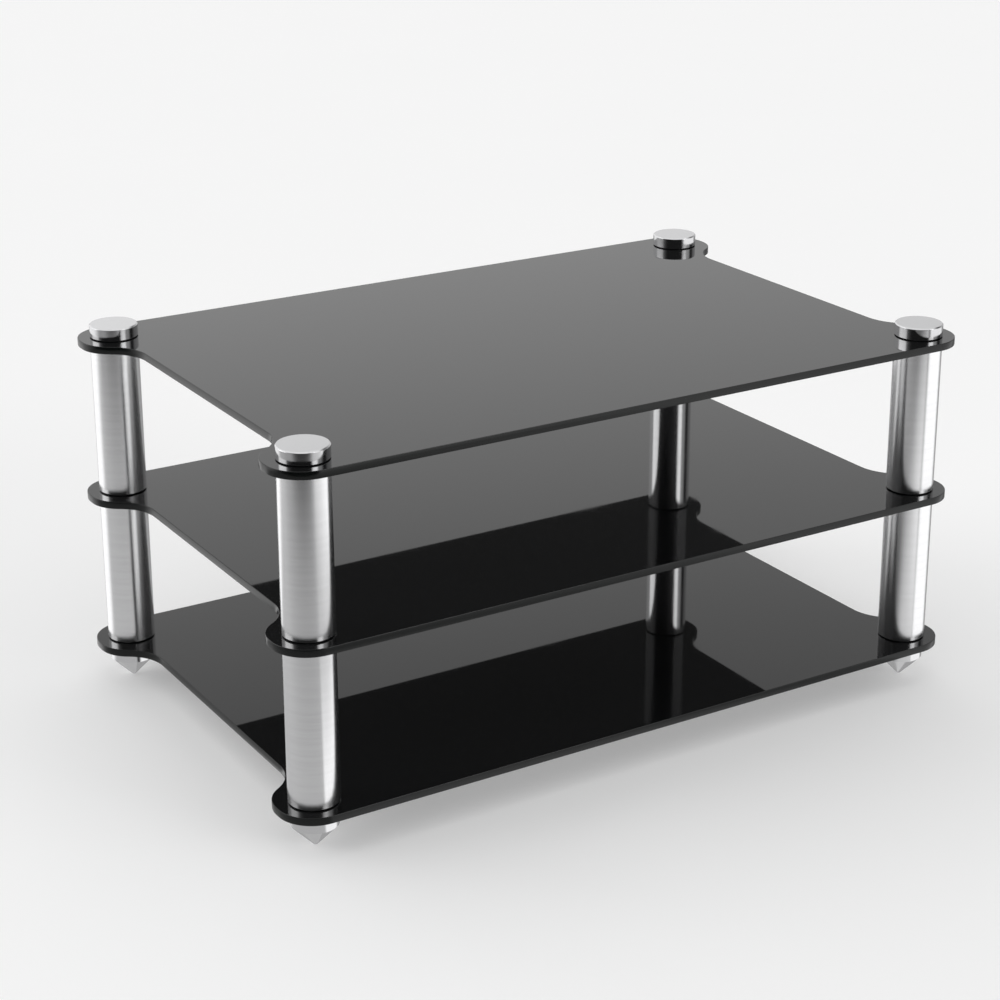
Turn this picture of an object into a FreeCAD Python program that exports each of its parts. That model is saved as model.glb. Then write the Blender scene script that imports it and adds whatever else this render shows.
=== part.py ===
"""Open equipment rack with three glass shelves on round metal pillars.

A stack stands at each corner, from the floor up: a cone foot, the bottom shelf, a lower pillar,
the middle shelf, an upper pillar, the top shelf and a cap. Studs screwed into both neighbours
run through the shelves and hold each stack together, and thin washers keep metal off the glass.
The feet and the caps screw out with their studs.

Millimetres, +X along the rack, +Y to the back, +Z up. The origin is on the floor, in the middle
of the footprint.
"""
import FreeCAD, Part
import Sketcher
import math
import os
from types import SimpleNamespace

# Driving sizes, in millimetres apart from the shares
SIZES = {
    # corner stacks, from axis to axis
    "post_spacing_x": 543.0,
    "post_spacing_y": 333.0,
    # shelves: an ear goes round each stack, and a shallow bay lies between two ears
    "glass_thickness": 6.0,
    "glass_arris": 0.4,
    "ear_radius": 28.5,
    "ear_flat": 4.0,
    "short_edge_inset": 1.7,
    "bay_fillet": 36.0,
    "glass_hole_radius": 5.0,
    # washers between metal and glass
    "washer_radius": 17.6,
    "washer_hole_radius": 4.6,
    "washer_thickness": 0.5,
    # pillars
    "pillar_radius": 19.0,
    "pillar_length": 122.1,
    "pillar_chamfer": 0.6,
    # caps
    "cap_radius": 19.0,
    "cap_height": 9.7,
    "cap_chamfer": 0.9,
    "cap_lower_chamfer": 0.3,
    "cap_crown": 2.6,
    # cone feet
    "foot_radius": 17.8,
    "foot_collar_height": 11.6,
    "foot_cone_height": 17.0,
    "foot_tip_radius": 1.7,
    "foot_chamfer": 0.5,
    # studs and the tapped holes that take them
    "stud_radius": 4.0,
    "stud_chamfer": 0.6,
    "thread_clearance": 0.05,
    "grip_in_foot": 10.0,
    "grip_in_pillar": 12.0,
    "grip_under_cap": 10.0,
    "hole_spare": 1.5,
    "stud_end_gap": 0.5,
    "drill_point_share": 0.6,
    # gap left between a screwed piece and the washer that it is tightened on
    "seat_gap": 0.05,
}

# Corner stacks, by the side of the rack that each stands on along X and Y
CORNERS = {
    "front_left": (-1, -1),
    "front_right": (1, -1),
    "back_left": (-1, 1),
    "back_right": (1, 1),
}


class Measure:
    """A length as a number, and the formula that gives it from the sheet."""

    def __init__(self, value, formula):
        self.value = value
        self.formula = formula

    def __add__(self, other):
        other = measure(other)
        return Measure(self.value + other.value, f"({self.formula} + {other.formula})")

    def __sub__(self, other):
        other = measure(other)
        return Measure(self.value - other.value, f"({self.formula} - {other.formula})")

    def __mul__(self, other):
        other = measure(other)
        return Measure(self.value * other.value, f"({self.formula} * {other.formula})")

    def __truediv__(self, other):
        other = measure(other)
        return Measure(self.value / other.value, f"({self.formula} / {other.formula})")

    def root(self):
        return Measure(math.sqrt(self.value), f"sqrt({self.formula})")


def measure(item):
    """A plain ratio such as 2 or a sign, as a measure."""
    if isinstance(item, Measure):
        return item
    return Measure(float(item), f"({item})")


doc = FreeCAD.newDocument("glass_rack")
sheet = doc.addObject("Spreadsheet::Sheet", "Sizes")
for row, (alias, value) in enumerate(SIZES.items(), start=1):
    sheet.set(f"A{row}", alias)
    sheet.set(f"B{row}", str(value))
    sheet.setAlias(f"B{row}", alias)
doc.recompute()
size = SimpleNamespace(**{name: Measure(value, f"Sizes.{name}") for name, value in SIZES.items()})
zero = measure(0)

# Heights of the stack, from the floor up
foot_height = size.foot_cone_height + size.foot_collar_height
joint_height = size.washer_thickness * 2 + size.glass_thickness
bottom_glass = foot_height + size.seat_gap + size.washer_thickness
lower_pillar = bottom_glass + size.glass_thickness + size.washer_thickness
middle_glass = lower_pillar + size.pillar_length + size.washer_thickness
upper_pillar = middle_glass + size.glass_thickness + size.washer_thickness
top_glass = upper_pillar + size.pillar_length + size.washer_thickness
cap_seat = top_glass + size.glass_thickness + size.washer_thickness + size.seat_gap

# Tapped holes
tap_radius = size.stud_radius + size.thread_clearance
drill_point = tap_radius * size.drill_point_share
pillar_hole = size.grip_in_pillar + size.hole_spare
foot_hole = size.grip_in_foot + size.stud_end_gap
cap_hole = size.cap_height - size.cap_crown


def move_to(item, x, y, z):
    """Bind the place of an object to three measures."""
    for axis, distance in zip("xyz", (x, y, z)):
        item.setExpression(f"Placement.Base.{axis}", distance.formula)


def corner_place(corner):
    """The axis of a corner stack, as two measures."""
    side_x, side_y = CORNERS[corner]
    return size.post_spacing_x / 2 * side_x, size.post_spacing_y / 2 * side_y


def new_body(label):
    body = doc.addObject("PartDesign::Body", label)
    body.Label = label
    return body


def new_sketch(body, plane_role):
    """An empty sketch on one of the body's own origin planes."""
    plane = next(item for item in body.Origin.OriginFeatures if item.Role == plane_role)
    sketch = body.newObject("Sketcher::SketchObject", f"{body.Label}_sketch")
    sketch.AttachmentSupport = [(plane, "")]
    sketch.MapMode = "FlatFace"
    return sketch


def bind(sketch, constraint, distance):
    """Add a dimension to a sketch and tie it to its formula."""
    index = sketch.addConstraint(constraint)
    sketch.setExpression(f"Constraints[{index}]", distance.formula)


def place_point(sketch, edge, end, x, y):
    """Dimension the end of an edge from the sketch's axes."""
    for kind, distance, axis_line in (("DistanceX", x, -2), ("DistanceY", y, -1)):
        if distance.value == 0:
            sketch.addConstraint(Sketcher.Constraint("PointOnObject", edge, end, axis_line))
        else:
            bind(sketch, Sketcher.Constraint(kind, -1, 1, edge, end, distance.value), distance)


def turned(label, profile):
    """A piece turned about its own Z axis, from the corners of half its section."""
    body = new_body(label)
    sketch = new_sketch(body, "XZ_Plane")
    points = [FreeCAD.Vector(radius.value, height.value, 0) for radius, height in profile]
    for start, end in zip(points, points[1:] + points[:1]):
        sketch.addGeometry(Part.LineSegment(start, end), False)
    for index in range(len(points)):
        following = (index + 1) % len(points)
        sketch.addConstraint(Sketcher.Constraint("Coincident", index, 2, following, 1))
    for index, (radius, height) in enumerate(profile):
        place_point(sketch, index, 1, radius, height)
    turn = body.newObject("PartDesign::Revolution", f"{label}_turn")
    turn.Profile = sketch
    turn.ReferenceAxis = (sketch, ["V_Axis"])
    turn.Angle = 360.0
    return body


def short_arc(sketch, centre, radius, first, second):
    """Add the arc of under half a circle between two points, and say which end is which."""
    angles = [math.atan2(point.y - centre.y, point.x - centre.x) for point in (first, second)]
    swapped = math.sin(angles[1] - angles[0]) < 0
    if swapped:
        angles.reverse()
    circle = Part.Circle(centre, FreeCAD.Vector(0, 0, 1), radius)
    edge = sketch.addGeometry(Part.ArcOfCircle(circle, angles[0], angles[1]), False)
    return (edge, 2, 1) if swapped else (edge, 1, 2)


def shelf_corner(sketch, side_x, side_y):
    """Draw the ear round one stack and return its two open ends, on the short and the long edge."""
    post_x = size.post_spacing_x / 2
    post_y = size.post_spacing_y / 2
    reach = size.ear_radius + size.bay_fillet
    out = size.bay_fillet - size.short_edge_inset
    drop = (reach * reach - out * out).root()
    ear_y = post_y - size.ear_flat

    def at(x, y):
        return FreeCAD.Vector(side_x * x.value, side_y * y.value, 0)

    fillet_centre = at(post_x + out, ear_y - drop)
    touch = at(post_x + out * size.ear_radius / reach, ear_y - drop * size.ear_radius / reach)
    flat_start = at(post_x + size.ear_radius, ear_y)
    flat_end = at(post_x + size.ear_radius, post_y)

    bay, bay_start, bay_end = short_arc(
        sketch, fillet_centre, size.bay_fillet.value,
        at(post_x - size.short_edge_inset, ear_y - drop), touch)
    ear, ear_start, ear_end = short_arc(
        sketch, at(post_x, ear_y), size.ear_radius.value, touch, flat_start)
    flat = sketch.addGeometry(Part.LineSegment(flat_start, flat_end), False)
    turn, turn_start, turn_end = short_arc(
        sketch, at(post_x, post_y), size.ear_radius.value,
        flat_end, at(post_x, post_y + size.ear_radius))

    sketch.addConstraint(Sketcher.Constraint("Tangent", bay, bay_end, ear, ear_start))
    sketch.addConstraint(Sketcher.Constraint("Tangent", ear, ear_end, flat, 1))
    sketch.addConstraint(Sketcher.Constraint("Tangent", flat, 2, turn, turn_start))
    sketch.addConstraint(Sketcher.Constraint("Vertical", flat))
    bind(sketch, Sketcher.Constraint("Radius", bay, size.bay_fillet.value), size.bay_fillet)
    bind(sketch, Sketcher.Constraint("Radius", ear, size.ear_radius.value), size.ear_radius)
    bind(sketch, Sketcher.Constraint("Radius", turn, size.ear_radius.value), size.ear_radius)
    bind(sketch, Sketcher.Constraint("Distance", flat, size.ear_flat.value), size.ear_flat)
    place_point(sketch, turn, 3, post_x * side_x, post_y * side_y)

    hole_radius = size.glass_hole_radius
    circle = Part.Circle(at(post_x, post_y), FreeCAD.Vector(0, 0, 1), hole_radius.value)
    hole = sketch.addGeometry(circle, False)
    sketch.addConstraint(Sketcher.Constraint("Coincident", hole, 3, turn, 3))
    bind(sketch, Sketcher.Constraint("Radius", hole, hole_radius.value), hole_radius)
    return (bay, bay_start), (turn, turn_end)


def end_point(sketch, end):
    return sketch.getPoint(*end)


def glass_shelf(label, height):
    """A shelf with straight front and back edges, four ears and an arris all round."""
    body = new_body(label)
    sketch = new_sketch(body, "XY_Plane")
    ends = {corner: shelf_corner(sketch, *sides) for corner, sides in CORNERS.items()}

    for side, side_x in (("left", -1), ("right", 1)):
        front = ends[f"front_{side}"][0]
        back = ends[f"back_{side}"][0]
        edge = sketch.addGeometry(
            Part.LineSegment(end_point(sketch, front), end_point(sketch, back)), False)
        sketch.addConstraint(Sketcher.Constraint("Tangent", *front, edge, 1))
        sketch.addConstraint(Sketcher.Constraint("Tangent", *back, edge, 2))
        sketch.addConstraint(Sketcher.Constraint("Vertical", edge))
        edge_x = (size.post_spacing_x / 2 - size.short_edge_inset) * side_x
        bind(sketch, Sketcher.Constraint("DistanceX", -1, 1, edge, 1, edge_x.value), edge_x)
    for side in ("front", "back"):
        left = ends[f"{side}_left"][1]
        right = ends[f"{side}_right"][1]
        edge = sketch.addGeometry(
            Part.LineSegment(end_point(sketch, left), end_point(sketch, right)), False)
        sketch.addConstraint(Sketcher.Constraint("Tangent", *left, edge, 1))
        sketch.addConstraint(Sketcher.Constraint("Tangent", *right, edge, 2))

    pad = body.newObject("PartDesign::Pad", f"{label}_pad")
    pad.Profile = sketch
    pad.Length = SIZES["glass_thickness"]
    pad.setExpression("Length", size.glass_thickness.formula)
    doc.recompute()
    rims = [
        f"Edge{number}" for number, edge in enumerate(pad.Shape.Edges, start=1)
        if edge.BoundBox.ZLength < size.glass_arris.value
    ]
    arris = body.newObject("PartDesign::Chamfer", f"{label}_arris")
    arris.Base = (pad, rims)
    arris.Size = SIZES["glass_arris"]
    arris.setExpression("Size", size.glass_arris.formula)
    move_to(body, zero, zero, height)


def pillar(label, corner, height):
    """A round bar with a tapped hole in each end."""
    length = size.pillar_length
    body = turned(label, [
        (tap_radius, zero),
        (size.pillar_radius - size.pillar_chamfer, zero),
        (size.pillar_radius, size.pillar_chamfer),
        (size.pillar_radius, length - size.pillar_chamfer),
        (size.pillar_radius - size.pillar_chamfer, length),
        (tap_radius, length),
        (tap_radius, length - pillar_hole),
        (zero, length - pillar_hole - drill_point),
        (zero, pillar_hole + drill_point),
        (tap_radius, pillar_hole),
    ])
    move_to(body, *corner_place(corner), height)


def cap(label, corner):
    """A flat round cap with a blind tapped hole in its underside."""
    body = turned(label, [
        (tap_radius, zero),
        (size.cap_radius - size.cap_lower_chamfer, zero),
        (size.cap_radius, size.cap_lower_chamfer),
        (size.cap_radius, size.cap_height - size.cap_chamfer),
        (size.cap_radius - size.cap_chamfer, size.cap_height),
        (zero, size.cap_height),
        (zero, cap_hole),
        (tap_radius, cap_hole),
    ])
    move_to(body, *corner_place(corner), cap_seat)


def foot(label, corner):
    """A cone on a short collar, with a blunt tip and a tapped hole in its top."""
    body = turned(label, [
        (zero, zero),
        (size.foot_tip_radius, zero),
        (size.foot_radius, size.foot_cone_height),
        (size.foot_radius, foot_height - size.foot_chamfer),
        (size.foot_radius - size.foot_chamfer, foot_height),
        (tap_radius, foot_height),
        (tap_radius, foot_height - foot_hole),
        (zero, foot_height - foot_hole - drill_point),
    ])
    move_to(body, *corner_place(corner), zero)


def stud(label, corner, bottom, length):
    """A threaded stud, drawn at its outside diameter."""
    body = turned(label, [
        (zero, zero),
        (size.stud_radius - size.stud_chamfer, zero),
        (size.stud_radius, size.stud_chamfer),
        (size.stud_radius, length - size.stud_chamfer),
        (size.stud_radius - size.stud_chamfer, length),
        (zero, length),
    ])
    move_to(body, *corner_place(corner), bottom)


def washers(label, height):
    """Four thin washers, one on each stack, all at one height."""
    rings = []
    for corner in CORNERS:
        discs = []
        for name, radius in (("disc", size.washer_radius), ("bore", size.washer_hole_radius)):
            disc = doc.addObject("Part::Cylinder", f"{label}_{corner}_{name}")
            disc.setExpression("Radius", radius.formula)
            disc.setExpression("Height", size.washer_thickness.formula)
            move_to(disc, *corner_place(corner), height)
            discs.append(disc)
        ring = doc.addObject("Part::Cut", f"{label}_{corner}")
        ring.Base, ring.Tool = discs
        rings.append(ring)
    group = doc.addObject("Part::Compound", label)
    group.Label = label
    group.Links = rings


glass_shelf("shelf_bottom", bottom_glass)
glass_shelf("shelf_middle", middle_glass)
glass_shelf("shelf_top", top_glass)

washers("washers_under_bottom_shelf", bottom_glass - size.washer_thickness)
washers("washers_on_bottom_shelf", bottom_glass + size.glass_thickness)
washers("washers_under_middle_shelf", middle_glass - size.washer_thickness)
washers("washers_on_middle_shelf", middle_glass + size.glass_thickness)
washers("washers_under_top_shelf", top_glass - size.washer_thickness)
washers("washers_on_top_shelf", top_glass + size.glass_thickness)

for corner in CORNERS:
    foot(f"foot_{corner}", corner)
    stud(f"stud_foot_{corner}", corner,
         foot_height - size.grip_in_foot,
         size.grip_in_foot + size.seat_gap + joint_height + size.grip_in_pillar)
    pillar(f"pillar_lower_{corner}", corner, lower_pillar)
    stud(f"stud_middle_{corner}", corner,
         middle_glass - size.washer_thickness - size.grip_in_pillar,
         size.grip_in_pillar + joint_height + size.grip_in_pillar)
    pillar(f"pillar_upper_{corner}", corner, upper_pillar)
    stud(f"stud_cap_{corner}", corner,
         top_glass - size.washer_thickness - size.grip_under_cap,
         size.grip_under_cap + joint_height + size.seat_gap + cap_hole - size.stud_end_gap)
    cap(f"cap_{corner}", corner)

doc.recompute()

# Check every object, then write one file for each piece or group
faults = [item.Label for item in doc.Objects if {"Invalid", "Error"} & set(item.State)]
pieces = [item for item in doc.Objects if item.isDerivedFrom("PartDesign::Body")]
pieces += [item for item in doc.Objects if item.TypeId == "Part::Compound"]
faults += [item.Label for item in pieces if item.Shape.isNull() or not item.Shape.isValid()]
if faults:
    raise RuntimeError("failed: " + ", ".join(faults))

os.makedirs("parts", exist_ok=True)
for item in pieces:
    item.Shape.exportStep(f"parts/{item.Label}.step")
print(f"{len(pieces)} pieces written")
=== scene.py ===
"""Finish the open glass rack: black glass shelves, satin metal stacks and the studio round them.

The packed model gives every piece its place and outside size. The glass, the metal and the
threads are made again here with their true edges and finishes, in metres, and each piece rides
on the body that carries it. The washers and the inner studs keep the packed shapes.
"""
import math

import bmesh
import bpy
from bpy.props import FloatProperty, FloatVectorProperty, IntProperty, PointerProperty
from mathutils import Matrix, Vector
from mathutils.geometry import tessellate_polygon


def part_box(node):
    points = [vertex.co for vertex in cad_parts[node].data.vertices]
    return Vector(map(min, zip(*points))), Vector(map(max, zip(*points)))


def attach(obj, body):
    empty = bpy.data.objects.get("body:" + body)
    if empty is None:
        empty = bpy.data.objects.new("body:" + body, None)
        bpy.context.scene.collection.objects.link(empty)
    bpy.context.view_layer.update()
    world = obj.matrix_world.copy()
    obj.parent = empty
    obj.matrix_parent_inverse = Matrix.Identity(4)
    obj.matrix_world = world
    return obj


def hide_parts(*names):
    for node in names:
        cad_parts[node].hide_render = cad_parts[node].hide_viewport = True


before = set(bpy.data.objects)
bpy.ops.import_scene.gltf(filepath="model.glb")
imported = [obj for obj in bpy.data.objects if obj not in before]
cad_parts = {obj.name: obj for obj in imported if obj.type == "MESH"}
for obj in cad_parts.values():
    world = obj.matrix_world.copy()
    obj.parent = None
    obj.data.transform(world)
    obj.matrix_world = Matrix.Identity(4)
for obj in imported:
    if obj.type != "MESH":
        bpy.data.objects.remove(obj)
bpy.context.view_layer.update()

bl_info = {
    "name": "Glass Equipment Rack",
    "version": (1, 0, 0),
    "blender": (4, 5, 0),
    "location": "3D View > Sidebar > Rack",
    "description": "Builds a rack of black glass shelves on satin metal pillars",
    "category": "Add Mesh",
}

CORNERS = ("front_left", "front_right", "back_left", "back_right")
SHELVES = ("bottom", "middle", "top")
TIERS = ("lower", "upper")

# Straight stretches that stand for each arc of a shelf's outline, its holes, its arris and a
# turned edge
BAY_STEPS = 14
EAR_STEPS = 22
HOLE_STEPS = 32
ARRIS_STEPS = 3
ROUNDING_STEPS = 3

# A turned edge is rounded where both of its sides are this many roundings long. One that turns
# by more than the sharp angle is shaded crisp, and points of a thread as near as this are merged.
ROUNDING_ROOM = 1.5
SHARP_ANGLE = math.radians(25)
SAME_POINT = 1e-7

# Places of the three finishes of a shelf among its materials
FACE, EDGE, UNDERSIDE = 0, 1, 2

# Patterns of the finishes: features in a metre, how many times closer they lie along X, Y and Z,
# and how many finer layers they carry where that isn't the usual two
WIPES = {"scale": 9.0, "closer": (1.0, 3.0, 1.0), "detail": 3.0}
DUST = {"scale": 900.0}
GRINDING = {"scale": 60.0, "closer": (1.0, 1.0, 40.0)}
SMEARS = {"scale": 12.0, "closer": (1.0, 4.0, 1.0), "detail": 3.0}
BRUSH_LINES = {"scale": 90.0, "closer": (1.0, 1.0, 60.0), "detail": 3.0}
BRUSH_STROKES = {"scale": 14.0, "closer": (1.0, 1.0, 30.0), "detail": 3.0}
HANDLED_PATCHES = {"scale": 14.0}
LATHE_RINGS = {"scale": 2600.0}
LATHE_PATCHES = {"scale": 40.0}
PLATING_BLOTCHES = {"scale": 350.0, "detail": 3.0}
NYLON_GRAIN = {"scale": 1800.0}
FLOOR_MOTTLE = {"scale": 3.0, "detail": 3.0}

GLASS_IOR = 1.5
QUARTER_TURN = 0.25
WHITE = (1.0, 1.0, 1.0)
BLACK = (0.0, 0.0, 0.0)

# Camera: width of the picture in millimetres and farthest sight in metres
SENSOR_WIDTH = 36.0
FARTHEST_SIGHT = 50.0

# Half a side of the floor, then the edges and the depth of the glowing sheet under it, which paints
# the lit floor's reflection
FLOOR_REACH = 9.0
SHEET_LEFT, SHEET_RIGHT, SHEET_NEAR, SHEET_FAR = -1.2, 1.0, -1.2, 0.1
SHEET_DEPTH = 0.001

# Fans of painted floor reflection: how far the stack that each lies in front of stands to the camera's
# right and towards the camera, and the bearings over which the fan rises and falls
REFLECTION_FANS = (
    ((-0.142, 0.284), (-100, -60), (40, 51)),
    ((0.317, 0.0), (-58, -5), (38, 50)),
    ((-0.317, 0.0), (-100, -70), (24, 30)),
)

# Studio, in degrees: a bearing is measured from the camera's side of the rack, positive to its
# right, and a height from the horizon. A light rises over one pair and falls over the next.
LEFT_CARD = ((-162, -138), (-100, -40))
RIGHT_CARD_RISES, RIGHT_CARD_FALLS = (42, 54), (118, 135)
LEFT_BOX = ((-120, -106), (-74, -62))
RIGHT_BOX = ((38, 45), (62, 70))
BOX_HEIGHTS = ((15, 17), (26, 30))
REAR_RISES = (104, 125)
HORIZON = (-3, 3)
CEILING_RISES = (36, 52)
UNDER_FALLS = (-50, -35)

# Going up over these heights, the right card comes to end this many degrees sooner
CUT_HEIGHTS, CARD_CUT = (2, 10), 38

# The left soft box is a little weaker than the right one, and the wall is brighter on the left
LEFT_BOX_SHARE = 0.8
WALL_MIDDLE, WALL_LEAN = 1.08, 0.6


# Settings

def length(name, description, default):
    """A size that a user may change, in metres."""
    return FloatProperty(name=name, description=description, default=default, min=0.0,
                         subtype="DISTANCE", unit="LENGTH", precision=5)


def share(name, description, default):
    """A number from 0 to 1."""
    return FloatProperty(name=name, description=description, default=default,
                         min=0.0, max=1.0, subtype="FACTOR")


def colour(name, description, default):
    """A colour, in the linear numbers that shaders use."""
    return FloatVectorProperty(name=name, description=description, default=default,
                               min=0.0, max=1.0, size=3, subtype="COLOR")


def strength(name, description, default):
    """How strongly a part of the studio shines, where 1 is white."""
    return FloatProperty(name=name, description=description, default=default, min=0.0)


def angle(name, description, degrees):
    """An angle, written in degrees."""
    return FloatProperty(name=name, description=description, default=math.radians(degrees),
                         subtype="ANGLE", unit="ROTATION")


class RackGlassSettings(bpy.types.PropertyGroup):
    """Outline and finish of the shelves."""

    post_x: length("Post X", "Distance of each stack's axis from the middle, along the rack",
                   sum(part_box("cap_front_right")[i].x for i in (0, 1)) / 2)
    post_y: length("Post Y", "Distance of each stack's axis from the middle, front to back",
                   sum(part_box("cap_back_right")[i].y for i in (0, 1)) / 2)
    ear_radius: length("Ear radius", "Radius of the ear round each stack", 0.0285)
    ear_flat: length("Ear flat", "Straight stretch on the outer side of an ear", 0.004)
    short_edge_inset: length("Short edge inset", "How far a short edge lies inside the axes", 0.0017)
    bay_fillet: length("Bay fillet", "Hollow radius between an ear and the short edge", 0.036)
    hole_radius: length("Hole radius", "Radius of the stud holes", 0.005)
    arris: length("Arris", "Width of the rounded arris along the glass edges", 0.0004)
    body_colour: colour("Glass colour", "Colour of the glass itself", (0.0055, 0.0057, 0.0060))
    # The glass seen from below takes a lighter copy of the glass colour: painted light that brightens
    # the undersides' mirror images
    under_colour_with_painted_light: colour("Under colour", "Colour of the glass seen from below", (0.016, 0.016, 0.0165))
    edge_colour: colour("Edge colour", "Colour of the polished edges", (0.004, 0.005, 0.0048))
    roughness: share("Roughness", "Polish of the faces", 0.022)


class RackMetalSettings(bpy.types.PropertyGroup):
    """Edges and finishes of the pillars, caps and feet."""

    pillar_chamfer: length("Pillar chamfer", "Chamfer at each end of a pillar", 0.0006)
    cap_chamfer: length("Cap chamfer", "Chamfer round the top of a cap", 0.0009)
    cap_lower_chamfer: length("Cap lower chamfer", "Chamfer round the foot of a cap", 0.0003)
    cap_crown: length("Cap crown", "Metal left over the blind hole of a cap", 0.0026)
    cone_height: length("Cone height", "Height of the cone of a foot", 0.017)
    tip_radius: length("Tip radius", "Radius of a foot's blunt tip", 0.0017)
    foot_chamfer: length("Foot chamfer", "Chamfer round the top of a foot", 0.0005)
    tap_radius: length("Tap radius", "Radius of the tapped holes", 0.00405)
    pillar_tap: length("Pillar tap", "Depth of the tapped hole in each end of a pillar", 0.0135)
    foot_tap: length("Foot tap", "Depth of the tapped hole in a foot", 0.0105)
    drill_point: length("Drill point", "Depth of the cone at the end of a tapped hole", 0.00243)
    rounding: length("Rounding", "Small radius that breaks every turned edge", 0.00015)
    colour: colour("Metal colour", "Colour of the pillars", (0.91, 0.91, 0.92))
    # Caps and feet take darker copies of the pillars' aluminium: painted shade that dims the caps'
    # tops and sets the feet off against the floor
    cap_colour_with_painted_shade: colour("Cap colour", "Colour of the caps", (0.69, 0.69, 0.70))
    foot_colour_with_painted_shade: colour("Foot colour", "Colour of the feet", (0.78, 0.78, 0.79))
    pillar_roughness: share("Pillar roughness", "Roughness of the brushed pillars", 0.22)
    pillar_grain: share("Pillar grain", "How far the brushing spreads light one way", 0.45)
    cap_roughness: share("Cap roughness", "Roughness of the turned caps and feet", 0.14)
    around: IntProperty(name="Steps around", description="Faces round each turned piece",
                        default=128, min=24)


class RackThreadSettings(bpy.types.PropertyGroup):
    """Thread of the studs."""

    pitch: length("Pitch", "Rise of the thread in one turn", 0.00125)
    depth: length("Depth", "Depth of the thread", 0.00077)
    colour: colour("Stud colour", "Colour of the plated steel", (0.56, 0.56, 0.57))
    around: IntProperty(name="Steps around", description="Faces in one turn of the thread",
                        default=48, min=12)


class RackStudioSettings(bpy.types.PropertyGroup):
    """Camera, floor and light."""

    camera_place: FloatVectorProperty(
        name="Camera place", description="Where the photograph was taken from",
        default=(-0.9050, -1.4664, 0.8147), size=3, subtype="TRANSLATION", unit="LENGTH")
    camera_pitch: angle("Camera pitch", "How far the camera looks down", 18.932)
    camera_yaw: angle("Camera yaw", "How far the camera is turned towards +X", 31.694)
    lens: FloatProperty(name="Lens", description="Focal length on a 36 mm sensor",
                        default=81.8, subtype="DISTANCE_CAMERA")
    shift_x: FloatProperty(name="Shift X", description="Sideways shift of the view, in widths",
                           default=-0.0169)
    shift_y: FloatProperty(name="Shift Y", description="Upward shift of the view, in widths",
                           default=-0.0817)
    floor_colour: colour("Floor colour", "Colour of the plain floor", (0.94, 0.94, 0.94))
    floor_lift: share("Floor lift", "How far the camera sees the floor as plain white", 0.3)
    backdrop: strength("Backdrop", "White of the backdrop, as the camera sees it", 0.94)
    sides: strength("Sides", "Light of the white cards and floor to the left and right", 1.12)
    rear: strength("Rear", "Light of the wall behind the rack", 0.8)
    far_floor: strength("Far floor", "Light of the floor behind the rack", 0.32)
    # Near floor is the glow of the sheet that paints the lit floor's reflection into the metal and the
    # glass
    near_floor: strength("Near floor", "Light of the floor between rack and camera", 0.48)
    under: strength("Under", "Added light of the floor right below", 0.05)
    soft_box: strength("Soft boxes", "Added light of the small soft boxes", 5.0)
    ceiling: strength("Ceiling", "Light of the white ceiling", 1.0)
    dark: strength("Dark side", "Light of the dark room behind the camera", 0.024)


# Shader maths

def opaque(rgb):
    """A colour with the fourth number that a shader's sockets want."""
    return (*rgb, 1.0)


def scaled(rgb, factor):
    """A colour made darker or lighter."""
    return tuple(factor * part for part in rgb)


class Socket:
    """An output of a shader node. Sums and products of sockets add their Math nodes."""

    def __init__(self, graph, output):
        self.graph = graph
        self.output = output

    def __add__(self, other):
        return self.graph.number("ADD", self, other)

    def __sub__(self, other):
        return self.graph.number("SUBTRACT", self, other)

    def __rsub__(self, other):
        return self.graph.number("SUBTRACT", other, self)

    def __mul__(self, other):
        return self.graph.number("MULTIPLY", self, other)

    __radd__ = __add__
    __rmul__ = __mul__


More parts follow.
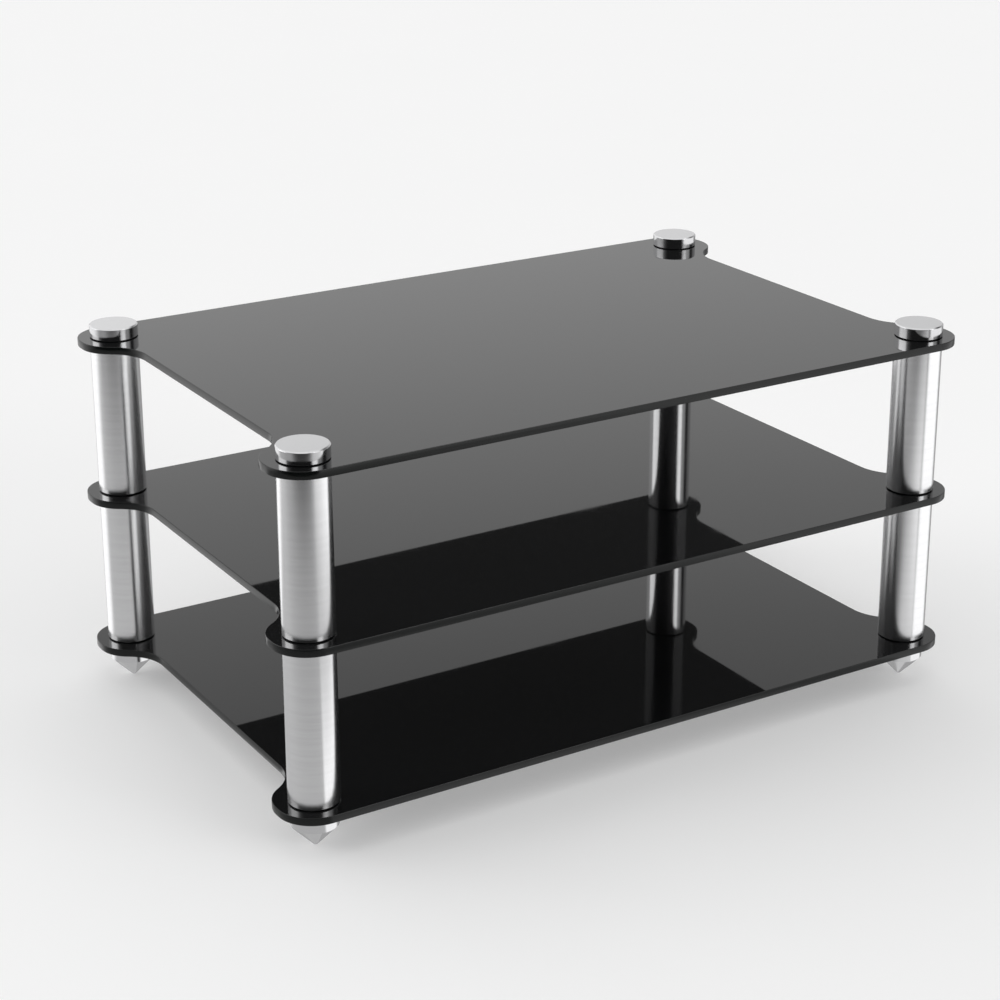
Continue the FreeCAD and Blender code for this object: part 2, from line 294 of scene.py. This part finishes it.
class Graph:
    """The nodes of one material or world, built from nothing."""

    def __init__(self, owner):
        owner.use_nodes = True
        self.tree = owner.node_tree
        self.tree.nodes.clear()

    def node(self, kind, settings=None, inputs=None, output=0):
        """Add a node, set it up, feed its inputs and return one of its outputs."""
        made = self.tree.nodes.new(kind)
        for name, value in (settings or {}).items():
            setattr(made, name, value)
        for name, value in (inputs or {}).items():
            if isinstance(value, Socket):
                self.tree.links.new(value.output, made.inputs[name])
            else:
                made.inputs[name].default_value = value
        return Socket(self, made.outputs[output]) if made.outputs else None

    def number(self, operation, *values):
        """Work out one number from others with a Math node."""
        inputs = dict(enumerate(values))
        return self.node("ShaderNodeMath", {"operation": operation}, inputs)

    def place(self):
        """The point on the surface, in the piece's own axes."""
        return self.node("ShaderNodeTexCoord", output="Object")

    def axes(self, vector):
        """The three parts of a vector."""
        made = self.node("ShaderNodeSeparateXYZ", inputs={0: vector}).output.node
        return [Socket(self, output) for output in made.outputs]

    def vector(self, x, y, z):
        """A vector, or a colour, from its three parts."""
        return self.node("ShaderNodeCombineXYZ", inputs={0: x, 1: y, 2: z})

    def along(self, vector, way):
        """How far a vector reaches along a way."""
        return self.node("ShaderNodeVectorMath", {"operation": "DOT_PRODUCT"},
                         {0: vector, 1: way}, output="Value")

    def noise(self, place, scale, closer=None, detail=2.0):
        """A cloudy pattern from 0 to 1, such as those listed at the top."""
        if closer:
            place = self.node("ShaderNodeVectorMath", {"operation": "MULTIPLY"}, {0: place, 1: closer})
        return self.node("ShaderNodeTexNoise", inputs={
            "Vector": place, "Scale": scale, "Detail": detail})

    def ramp(self, value, start, end, at_start=0.0, at_end=1.0):
        """Ease from one number to another while value goes from start to end."""
        return self.node("ShaderNodeMapRange", {"interpolation_type": "SMOOTHSTEP"}, {
            "Value": value, "From Min": start, "From Max": end, "To Min": at_start, "To Max": at_end})

    def ease(self, value, start, end):
        """Go from 0 to 1 between two angles in degrees."""
        return self.ramp(value, math.radians(start), math.radians(end))

    def band(self, value, rising, falling):
        """Go from 0 to 1 over one pair of angles and back to 0 over another."""
        return self.ease(value, *rising) * (1 - self.ease(value, *falling))

    def tint(self, share_of_second, first, second):
        """Mix two colours."""
        return self.node("ShaderNodeMix", {"data_type": "RGBA"}, {
            0: share_of_second, 6: opaque(first), 7: opaque(second)}, output=2)

    def bump(self, height, distance, strength):
        """Tilt the surface as if it rose by a distance where height is 1."""
        return self.node("ShaderNodeBump", inputs={
            "Height": height, "Distance": distance, "Strength": strength})

    def surface(self, **inputs):
        """Finish a material with one Principled shader."""
        named = {name.replace("_", " "): value for name, value in inputs.items()}
        shader = self.node("ShaderNodeBsdfPrincipled", inputs=named)
        self.node("ShaderNodeOutputMaterial", inputs={"Surface": shader})


def new_material(name):
    """A material and its empty graph."""
    material = bpy.data.materials.new(name)
    return material, Graph(material)


# Materials

def glass_face():
    """Black glass, polished, with the faintest wipe marks and dust."""
    settings = bpy.context.scene.rack_glass
    material, graph = new_material("black glass face")
    place = graph.place()
    wipes = graph.ramp(graph.noise(place, **WIPES), start=0.45, end=0.80)
    dust = graph.ramp(graph.noise(place, **DUST), start=0.66, end=0.80)
    wipes_dull, dust_dulls, dust_pales = 0.03, 0.05, 3.0
    body = tuple(settings.body_colour)
    graph.surface(
        Base_Color=graph.tint(dust, body, scaled(body, dust_pales)),
        Roughness=settings.roughness + wipes_dull * wipes + dust_dulls * dust,
        IOR=GLASS_IOR,
    )
    return material


def glass_edge():
    """The ground and polished edge, a little greener and duller than the faces."""
    settings = bpy.context.scene.rack_glass
    material, graph = new_material("black glass edge")
    grinding = graph.noise(graph.place(), **GRINDING)
    # The edge is painted darker where its grinding bump sinks: painted shade in the hollows
    smoothest, grinding_dulls, hollow_shade_darkens, shine = 0.10, 0.10, 0.75, 0.35
    edge = tuple(settings.edge_colour)
    graph.surface(
        Base_Color=graph.tint(grinding, scaled(edge, hollow_shade_darkens), edge),
        Roughness=smoothest + grinding_dulls * grinding,
        IOR=GLASS_IOR,
        Specular_IOR_Level=shine,
        Normal=graph.bump(grinding, distance=0.00002, strength=0.3),
    )
    return material


def glass_underside():
    """The underside, nearly as glossy as the top and never wiped as clean, with darker smears, and
    coloured lighter than the glass itself as painted light.
    """
    settings = bpy.context.scene.rack_glass
    material, graph = new_material("black glass underside")
    smears = graph.noise(graph.place(), **SMEARS)
    film, smears_dull, smears_darken = 0.04, 0.06, 0.8
    under = tuple(settings.under_colour_with_painted_light)
    graph.surface(
        Base_Color=graph.tint(smears, under, scaled(under, smears_darken)),
        Roughness=settings.roughness + film + smears_dull * smears,
        IOR=GLASS_IOR,
    )
    return material


def brushed_aluminium():
    """Pillars brushed round their axis, which spreads each highlight up and down."""
    settings = bpy.context.scene.rack_metal
    material, graph = new_material("brushed aluminium")
    place = graph.place()
    lines = graph.noise(place, **BRUSH_LINES)
    strokes = graph.noise(place, **BRUSH_STROKES)
    patches = graph.noise(place, **HANDLED_PATCHES)
    wear = (0.5 * graph.ramp(patches, start=0.3, end=0.7)
            + 0.5 * graph.ramp(strokes, start=0.35, end=0.65))
    polish, lines_dull, strokes_dull, wear_darkens = 0.025, 0.04, 0.02, 0.94
    metal = tuple(settings.colour)
    graph.surface(
        Base_Color=graph.tint(wear, metal, scaled(metal, wear_darkens)),
        Metallic=1.0,
        Roughness=settings.pillar_roughness - polish + lines_dull * lines + strokes_dull * strokes,
        Anisotropic=settings.pillar_grain,
        Anisotropic_Rotation=QUARTER_TURN,
        Normal=graph.bump(lines, distance=0.000004, strength=0.4),
    )
    return material


def turned_aluminium(name, metal):
    """Bright metal straight from the lathe, with fine rings round its axis."""
    settings = bpy.context.scene.rack_metal
    material, graph = new_material(name)
    place = graph.place()
    x, y, z = graph.axes(place)
    out = graph.number("SQRT", x * x + y * y)
    rings = graph.noise(graph.vector(out, z, 0.0), **LATHE_RINGS)
    patches = graph.noise(place, **LATHE_PATCHES)
    polish, rings_dull, patches_darken = 0.02, 0.06, 0.95
    graph.surface(
        Base_Color=graph.tint(patches, metal, scaled(metal, patches_darken)),
        Metallic=1.0,
        Roughness=settings.cap_roughness - polish + rings_dull * rings,
        Normal=graph.bump(rings, distance=0.000003, strength=0.3),
    )
    return material


def cap_metal():
    """Turned aluminium of the caps, darker than the pillars' metal as painted shade."""
    return turned_aluminium("turned cap", tuple(bpy.context.scene.rack_metal.cap_colour_with_painted_shade))


def foot_metal():
    """Turned aluminium of the feet, darker than the pillars' metal as painted shade."""
    return turned_aluminium("turned foot", tuple(bpy.context.scene.rack_metal.foot_colour_with_painted_shade))


def plated_steel():
    """Zinc plated studs, a little blotchy."""
    settings = bpy.context.scene.rack_thread
    material, graph = new_material("plated steel")
    blotches = graph.noise(graph.place(), **PLATING_BLOTCHES)
    smoothest, blotches_dull, blotches_darken = 0.28, 0.14, 0.8
    steel = tuple(settings.colour)
    graph.surface(
        Base_Color=graph.tint(blotches, steel, scaled(steel, blotches_darken)),
        Metallic=1.0,
        Roughness=smoothest + blotches_dull * blotches,
        Normal=graph.bump(blotches, distance=0.00001, strength=0.2),
    )
    return material


def black_washer():
    """Thin black nylon washers."""
    material, graph = new_material("black nylon")
    grain = graph.noise(graph.place(), **NYLON_GRAIN)
    smoothest, grain_dulls, grain_pales = 0.42, 0.12, 2.0
    nylon = (0.012, 0.012, 0.012)
    graph.surface(
        Base_Color=graph.tint(grain, nylon, scaled(nylon, grain_pales)),
        Roughness=smoothest + grain_dulls * grain,
        Normal=graph.bump(grain, distance=0.00002, strength=0.3),
    )
    return material


def shared(maker):
    """The material that a function makes, made once."""
    name = maker.__name__
    if name not in shared.made:
        shared.made[name] = maker()
    return shared.made[name]


shared.made = {}


# Meshes

def need(met, message):
    """Stop the build with a plain message where a piece can't be made."""
    if not met:
        raise ValueError(message)


def box_of(node):
    """The axis point at the foot of a round node, its radius and its height."""
    low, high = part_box(node)
    middle = (low + high) / 2
    return Vector((middle.x, middle.y, low.z)), (high.x - low.x) / 2, high.z - low.z


def add_piece(name, mesh_work, place, materials, body, node):
    """Turn mesh work into a piece that stands for its node and rides on the node's body."""
    mesh = bpy.data.meshes.new(name)
    bmesh.ops.recalc_face_normals(mesh_work, faces=mesh_work.faces)
    mesh_work.to_mesh(mesh)
    mesh_work.free()
    for material in materials:
        mesh.materials.append(material)
    piece = bpy.data.objects.new(name, mesh)
    bpy.context.scene.collection.objects.link(piece)
    piece.location = place
    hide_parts(node)
    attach(piece, body)
    return piece


def smooth_turning(piece):
    """Shade a turned piece smoothly, with its wide faces true and its edges crisp."""
    piece.data.shade_smooth()
    piece.data.set_sharp_from_angle(angle=SHARP_ANGLE)
    normals = piece.modifiers.new("Weighted normals", "WEIGHTED_NORMAL")
    normals.keep_sharp = True


def soften(corners, radius):
    """Round the corners of a turned profile where both of its sides are long enough."""
    points = []
    count = len(corners)
    for index, (r, z) in enumerate(corners):
        here = Vector((r, z))
        before = Vector(corners[index - 1]) - here
        after = Vector(corners[(index + 1) % count]) - here
        if r == 0 or min(before.length, after.length) < radius * ROUNDING_ROOM:
            points.append(here)
            continue
        start = here + before.normalized() * radius
        end = here + after.normalized() * radius
        for step in range(ROUNDING_STEPS + 1):
            t = step / ROUNDING_STEPS
            points.append(start * (1 - t) ** 2 + here * 2 * t * (1 - t) + end * t ** 2)
    return points


def lathe(corners, rounding, around):
    """Turn a closed profile of radius and height about the Z axis."""
    work = bmesh.new()
    rings = []
    for point in soften(corners, rounding):
        if point.x == 0:
            rings.append([work.verts.new((0, 0, point.y))] * around)
            continue
        ring = []
        for step in range(around):
            turn = 2 * math.pi * step / around
            ring.append(work.verts.new((point.x * math.cos(turn), point.x * math.sin(turn), point.y)))
        rings.append(ring)
    for lower, upper in zip(rings, rings[1:] + rings[:1]):
        for step in range(around):
            following = (step + 1) % around
            quad = [lower[step], lower[following], upper[following], upper[step]]
            face = list(dict.fromkeys(quad))
            if len(face) > 2:
                work.faces.new(face)
    return work


def add_turned(name, corners, place, finish, body, node):
    """Turn a piece of satin aluminium from half its section and put it in its node's place."""
    settings = bpy.context.scene.rack_metal
    work = lathe(corners, settings.rounding, settings.around)
    piece = add_piece(name, work, place, [shared(finish)], body, node)
    smooth_turning(piece)


def arc(centre, radius, start, end, steps):
    """Points along an arc, with both of its ends."""
    turns = [start + (end - start) * step / steps for step in range(steps + 1)]
    return [(centre[0] + radius * math.cos(turn), centre[1] + radius * math.sin(turn))
            for turn in turns]


def shelf_loops(settings, inward):
    """The outline and the four stud holes of a shelf, each moved into the glass by a distance."""
    post_x, post_y = settings.post_x, settings.post_y
    ear = settings.ear_radius - inward
    bay = settings.bay_fillet + inward
    out = settings.bay_fillet - settings.short_edge_inset
    reach = settings.ear_radius + settings.bay_fillet
    need(abs(out) < reach, "the bays and the ears of a shelf don't meet")
    drop = math.sqrt(reach ** 2 - out ** 2)
    ear_y = post_y - settings.ear_flat
    touch = math.atan2(drop, -out)

    quarter = arc((post_x + out, ear_y - drop), bay, math.pi, touch, BAY_STEPS)[:-1]
    quarter += arc((post_x, ear_y), ear, touch - math.pi, 0, EAR_STEPS)
    quarter += arc((post_x, post_y), ear, 0, math.pi / 2, EAR_STEPS)
    mirrored = [(-x, y) for x, y in reversed(quarter)]
    half = quarter + mirrored
    outline = half + [(x, -y) for x, y in reversed(half)]

    hole = settings.hole_radius + inward
    holes = [arc((sign_x * post_x, sign_y * post_y), hole, 0, 2 * math.pi, HOLE_STEPS)[:-1]
             for sign_x in (-1, 1) for sign_y in (-1, 1)]
    return [outline] + holes


def glass_plate(settings, thickness):
    """A plate with the shelf's outline, its holes and a rounded arris along every edge."""
    levels = []
    for step in range(ARRIS_STEPS + 1):
        turn = math.pi / 2 * step / ARRIS_STEPS
        inward = settings.arris * (1 - math.sin(turn))
        levels.append((inward, settings.arris * (1 - math.cos(turn))))
    levels += [(inward, thickness - height) for inward, height in reversed(levels)]

    work = bmesh.new()
    loops_by_level = []
    for inward, height in levels:
        loops = shelf_loops(settings, inward)
        loops_by_level.append([[work.verts.new((x, y, height)) for x, y in loop] for loop in loops])
    for lower, upper in zip(loops_by_level, loops_by_level[1:]):
        for low_loop, high_loop in zip(lower, upper):
            for step in range(len(low_loop)):
                face = work.faces.new((low_loop[step - 1], low_loop[step],
                                       high_loop[step], high_loop[step - 1]))
                face.material_index = EDGE
                face.smooth = True
    for loops, finish in ((loops_by_level[0], UNDERSIDE), (loops_by_level[-1], FACE)):
        points = [vert for loop in loops for vert in loop]
        for corners in tessellate_polygon([[vert.co for vert in loop] for loop in loops]):
            face = work.faces.new([points[corner] for corner in corners])
            face.material_index = finish
    return work


def thread(radius, depth, pitch, height, around):
    """A plain vee thread with flat crests and roots, tapered off at both ends."""
    row_shares = (0.0, 0.125, 0.4375, 0.6875)
    row_radii = (radius, radius, radius - depth, radius - depth)
    per_turn = len(row_shares)
    turns = int(height / pitch) + 2
    work = bmesh.new()
    rows = []
    for row in range(-per_turn, turns * per_turn):
        turn, part = divmod(row, per_turn)
        ring = []
        for step in range(around):
            z = pitch * (turn + row_shares[part] + step / around)
            z = min(max(z, 0.0), height)
            reach = min(row_radii[part], radius - depth + min(z, height - z))
            bearing = 2 * math.pi * step / around
            ring.append(work.verts.new((reach * math.cos(bearing), reach * math.sin(bearing), z)))
        rows.append(ring)
    for index in range(len(rows) - 1):
        for step in range(around):
            if step + 1 < around:
                right_low, right_high = rows[index][step + 1], rows[index + 1][step + 1]
            elif index + 1 + per_turn < len(rows):
                right_low, right_high = rows[index + per_turn][0], rows[index + 1 + per_turn][0]
            else:
                continue
            work.faces.new((rows[index][step], right_low, right_high, rows[index + 1][step]))
    bmesh.ops.remove_doubles(work, verts=work.verts, dist=SAME_POINT)
    bmesh.ops.dissolve_degenerate(work, edges=work.edges, dist=SAME_POINT)
    open_edges = [edge for edge in work.edges if edge.is_boundary]
    bmesh.ops.holes_fill(work, edges=open_edges)
    return work


def flat_sheet(name, left, right, near, far, material):
    """A level rectangle of one material."""
    mesh = bpy.data.meshes.new(name)
    corners = [(left, near, 0), (right, near, 0), (right, far, 0), (left, far, 0)]
    mesh.from_pydata(corners, [], [(0, 1, 2, 3)])
    mesh.materials.append(material)
    sheet = bpy.data.objects.new(name, mesh)
    bpy.context.scene.collection.objects.link(sheet)
    return sheet


# Operators

class RACK_OT_glass_shelves(bpy.types.Operator):
    """Build the three black glass shelves."""

    bl_idname = "rack.glass_shelves"
    bl_label = "Glass shelves"

    def execute(self, context):
        settings = context.scene.rack_glass
        materials = [shared(glass_face), shared(glass_edge), shared(glass_underside)]
        for shelf in SHELVES:
            node = f"shelf_{shelf}"
            low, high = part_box(node)
            need(2 * settings.arris < high.z - low.z, f"{node} is too thin for its arris")
            work = glass_plate(settings, high.z - low.z)
            add_piece(f"glass_shelf_{shelf}", work, (0, 0, low.z), materials,
                      "rack", node)
        return {"FINISHED"}


class RACK_OT_pillars(bpy.types.Operator):
    """Build the eight brushed pillars with their tapped ends."""

    bl_idname = "rack.pillars"
    bl_label = "Pillars"

    def execute(self, context):
        settings = context.scene.rack_metal
        tap, depth = settings.tap_radius, settings.pillar_tap
        chamfer, point = settings.pillar_chamfer, settings.drill_point
        for tier in TIERS:
            for corner in CORNERS:
                node = f"pillar_{tier}_{corner}"
                place, radius, height = box_of(node)
                need(2 * (depth + point) < height, f"{node} is too short for its tapped holes")
                need(tap < radius - chamfer, f"{node} is too thin for its tapped holes")
                profile = [
                    (tap, 0.0),
                    (radius - chamfer, 0.0),
                    (radius, chamfer),
                    (radius, height - chamfer),
                    (radius - chamfer, height),
                    (tap, height),
                    (tap, height - depth),
                    (0.0, height - depth - point),
                    (0.0, depth + point),
                    (tap, depth),
                ]
                add_turned(f"satin_{node}", profile, place, brushed_aluminium, "rack", node)
        return {"FINISHED"}


class RACK_OT_caps(bpy.types.Operator):
    """Build the four flat caps."""

    bl_idname = "rack.caps"
    bl_label = "Caps"

    def execute(self, context):
        settings = context.scene.rack_metal
        tap, crown = settings.tap_radius, settings.cap_crown
        top, foot = settings.cap_chamfer, settings.cap_lower_chamfer
        for corner in CORNERS:
            node = f"cap_{corner}"
            place, radius, height = box_of(node)
            need(crown + foot < height, f"{node} is too thin for its blind hole")
            profile = [
                (tap, 0.0),
                (radius - foot, 0.0),
                (radius, foot),
                (radius, height - top),
                (radius - top, height),
                (0.0, height),
                (0.0, height - crown),
                (tap, height - crown),
            ]
            add_turned(f"turned_{node}", profile, place, cap_metal, node, node)
        return {"FINISHED"}


class RACK_OT_feet(bpy.types.Operator):
    """Build the four cone feet."""

    bl_idname = "rack.feet"
    bl_label = "Feet"

    def execute(self, context):
        settings = context.scene.rack_metal
        tap, depth = settings.tap_radius, settings.foot_tap
        chamfer, point = settings.foot_chamfer, settings.drill_point
        for corner in CORNERS:
            node = f"foot_{corner}"
            place, radius, height = box_of(node)
            need(depth + point < height, f"{node} is too short for its tapped hole")
            need(settings.cone_height + chamfer < height, f"{node} is too short for its cone")
            profile = [
                (0.0, 0.0),
                (settings.tip_radius, 0.0),
                (radius, settings.cone_height),
                (radius, height - chamfer),
                (radius - chamfer, height),
                (tap, height),
                (tap, height - depth),
                (0.0, height - depth - point),
            ]
            add_turned(f"turned_{node}", profile, place, foot_metal, node, node)
        return {"FINISHED"}


class RACK_OT_studs(bpy.types.Operator):
    """Cut the thread on the studs that screw out with the caps and the feet."""

    bl_idname = "rack.studs"
    bl_label = "Threaded studs"

    def execute(self, context):
        settings = context.scene.rack_thread
        for end in ("cap", "foot"):
            for corner in CORNERS:
                node = f"stud_{end}_{corner}"
                place, radius, height = box_of(node)
                need(settings.depth < radius, f"{node} is too thin for its thread")
                work = thread(radius, settings.depth, settings.pitch, height, settings.around)
                piece = add_piece(f"threaded_{node}", work, place, [shared(plated_steel)],
                                  f"{end}_stud_{corner}", node)
                smooth_turning(piece)
        return {"FINISHED"}


class RACK_OT_inner_pieces(bpy.types.Operator):
    """Give the washers and the inner studs their finishes."""

    bl_idname = "rack.inner_pieces"
    bl_label = "Washers and inner studs"

    def execute(self, context):
        finishes = {}
        for shelf in SHELVES:
            finishes[f"washers_under_{shelf}_shelf"] = black_washer
            finishes[f"washers_on_{shelf}_shelf"] = black_washer
        for corner in CORNERS:
            finishes[f"stud_middle_{corner}"] = plated_steel
        for node, maker in finishes.items():
            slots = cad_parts[node].material_slots
            need(len(slots) > 0, f"{node} has no place for a material")
            for slot in slots:
                slot.material = shared(maker)
        return {"FINISHED"}


class RACK_OT_studio(bpy.types.Operator):
    """Set up the camera, the pale floor and the soft light."""

    bl_idname = "rack.studio"
    bl_label = "Studio"

    def execute(self, context):
        settings = context.scene.rack_studio
        self.add_camera(context, settings)
        self.add_floor(settings)
        self.add_painted_floor_reflection(settings)
        self.add_light(context, settings)
        context.scene.view_settings.view_transform = "Standard"
        return {"FINISHED"}

    def add_camera(self, context, settings):
        """Stand the camera where the photograph was taken from."""
        data = bpy.data.cameras.new("camera")
        data.sensor_width = SENSOR_WIDTH
        data.lens = settings.lens
        data.shift_x = settings.shift_x
        data.shift_y = settings.shift_y
        data.clip_end = FARTHEST_SIGHT
        camera = bpy.data.objects.new("camera", data)
        camera.location = settings.camera_place
        camera.rotation_euler = (math.pi / 2 - settings.camera_pitch, 0.0, -settings.camera_yaw)
        context.scene.collection.objects.link(camera)
        context.scene.camera = camera

    def add_floor(self, settings):
        """Lay the plain floor, which takes the rack's shadow and which reflections pass through."""
        material, graph = new_material("pale floor")
        mottle = graph.noise(graph.place(), **FLOOR_MOTTLE)
        mottle_darkens, dullness = 0.985, 0.9
        pale = tuple(settings.floor_colour)
        ground = graph.node("ShaderNodeBsdfPrincipled", inputs={
            "Base Color": graph.tint(mottle, pale, scaled(pale, mottle_darkens)),
            "Roughness": dullness})
        white = graph.node("ShaderNodeEmission", inputs={"Color": opaque(WHITE)})
        lift = settings.floor_lift * graph.node("ShaderNodeLightPath", output="Is Camera Ray")
        lifted = graph.node("ShaderNodeMixShader", inputs={0: lift, 1: ground, 2: white})
        graph.node("ShaderNodeOutputMaterial", inputs={"Surface": lifted})
        floor = flat_sheet("floor", -FLOOR_REACH, FLOOR_REACH, -FLOOR_REACH, FLOOR_REACH, material)
        floor.visible_glossy = False

    def add_painted_floor_reflection(self, settings):
        """Add a glowing sheet that paints the lit floor between rack and camera into the metal and the
        glass.

        This is a painted reflection. It lies just under the floor, and the camera doesn't see it. Each
        stack but the hidden one has a fan of it in front. It ends softly towards the camera, and it is
        brighter to the camera's right and near the rack.
        """
        material, graph = new_material("painted floor reflection glow")
        to_the_right, away = graph.axes(graph.place())[:2]
        towards = 0 - away
        unlit = 1.0
        for (stack_right, stack_towards), rising, falling in REFLECTION_FANS:
            bearing = graph.number("ARCTAN2", to_the_right - stack_right, towards - stack_towards)
            unlit = unlit * (1 - graph.band(bearing, rising, falling))
        spread = (1 - unlit) * graph.ramp(towards, start=1.08, end=0.92)
        glow = settings.near_floor * graph.ramp(to_the_right, start=0.15, end=0.6,
                                                at_start=1.0, at_end=1.85)
        glow = glow * graph.ramp(towards, start=0.25, end=0.75, at_start=1.05, at_end=0.85)
        graph.surface(
            Base_Color=opaque(BLACK),
            Specular_IOR_Level=0.0,
            Emission_Color=graph.vector(glow, glow, glow),
            Emission_Strength=1.0,
            Alpha=spread,
        )
        sheet = flat_sheet("painted floor reflection sheet", SHEET_LEFT, SHEET_RIGHT, SHEET_NEAR, SHEET_FAR, material)
        sheet.location = (0, 0, -SHEET_DEPTH)
        sheet.rotation_euler = (0, 0, -settings.camera_yaw)
        sheet.visible_camera = False
        sheet.visible_diffuse = False

    def add_light(self, context, settings):
        """Light everything from a world that is drawn as a studio."""
        world = bpy.data.worlds.new("studio")
        context.scene.world = world
        graph = Graph(world)
        way = graph.node("ShaderNodeTexCoord", output="Generated")
        towards = (-math.sin(settings.camera_yaw), -math.cos(settings.camera_yaw), 0.0)
        right = (math.cos(settings.camera_yaw), -math.sin(settings.camera_yaw), 0.0)
        side = graph.along(way, right)
        bearing = graph.number("ARCTAN2", side, graph.along(way, towards))
        rise = graph.axes(way)[2]
        height = graph.number("ARCSINE", rise)

        cut = math.radians(CARD_CUT) * graph.ease(height, *CUT_HEIGHTS)
        right_card = (graph.ease(bearing, *RIGHT_CARD_RISES)
                      * (1 - graph.ease(bearing + cut, *RIGHT_CARD_FALLS)))
        cards = graph.band(bearing, *LEFT_CARD) + right_card
        boxes = LEFT_BOX_SHARE * graph.band(bearing, *LEFT_BOX) + graph.band(bearing, *RIGHT_BOX)
        boxes = boxes * graph.band(height, *BOX_HEIGHTS)

        rear = graph.ease(graph.number("ABSOLUTE", bearing), *REAR_RISES) * (1 - cards)
        above = graph.ease(height, *HORIZON)
        wall = above * graph.ramp(rise, start=0.25, end=0.62, at_start=1.0, at_end=0.35)
        wall = wall * (WALL_MIDDLE - WALL_LEAN * side) * settings.rear
        far_floor = (1 - above) * settings.far_floor
        overhead = graph.ease(height, *CEILING_RISES)
        under = (1 - graph.ease(height, *UNDER_FALLS)) * (1 - cards) * settings.under
        studio = (cards * (1 - overhead) * settings.sides + boxes * settings.soft_box
                  + rear * (wall + far_floor)
                  + under + overhead * settings.ceiling + settings.dark)
        seen = graph.node("ShaderNodeLightPath", output="Is Camera Ray")
        light = seen * settings.backdrop + (1 - seen) * studio
        shader = graph.node("ShaderNodeBackground", inputs={
            "Color": opaque(WHITE), "Strength": light})
        graph.node("ShaderNodeOutputWorld", inputs={"Surface": shader})


class RACK_PT_panel(bpy.types.Panel):
    """Lists the pieces of the rack and their settings in the sidebar of the 3D view."""

    bl_idname = "RACK_PT_panel"
    bl_label = "Glass equipment rack"
    bl_space_type = "VIEW_3D"
    bl_region_type = "UI"
    bl_category = "Rack"

    def draw(self, context):
        for operator in OPERATORS:
            self.layout.operator(operator.bl_idname)
        for name, group in GROUPS.items():
            box = self.layout.box()
            box.label(text=group.__doc__)
            for setting in group.__annotations__:
                box.prop(getattr(context.scene, name), setting)


GROUPS = {
    "rack_glass": RackGlassSettings,
    "rack_metal": RackMetalSettings,
    "rack_thread": RackThreadSettings,
    "rack_studio": RackStudioSettings,
}
OPERATORS = (
    RACK_OT_glass_shelves,
    RACK_OT_pillars,
    RACK_OT_caps,
    RACK_OT_feet,
    RACK_OT_studs,
    RACK_OT_inner_pieces,
    RACK_OT_studio,
)


def register():
    """Add the settings, the operators and the panel to the program."""
    for settings in GROUPS.values():
        bpy.utils.register_class(settings)
    for operator in OPERATORS:
        bpy.utils.register_class(operator)
    bpy.utils.register_class(RACK_PT_panel)
    for name, settings in GROUPS.items():
        setattr(bpy.types.Scene, name, PointerProperty(type=settings))


def unregister():
    """Take them out again."""
    for name in GROUPS:
        delattr(bpy.types.Scene, name)
    bpy.utils.unregister_class(RACK_PT_panel)
    for operator in reversed(OPERATORS):
        bpy.utils.unregister_class(operator)
    for settings in GROUPS.values():
        bpy.utils.unregister_class(settings)


def main():
    """Build every piece in order."""
    register()
    bpy.ops.rack.glass_shelves()
    bpy.ops.rack.pillars()
    bpy.ops.rack.caps()
    bpy.ops.rack.feet()
    bpy.ops.rack.studs()
    bpy.ops.rack.inner_pieces()
    bpy.ops.rack.studio()
    bpy.context.view_layer.update()


if __name__ == "__main__":
    main()
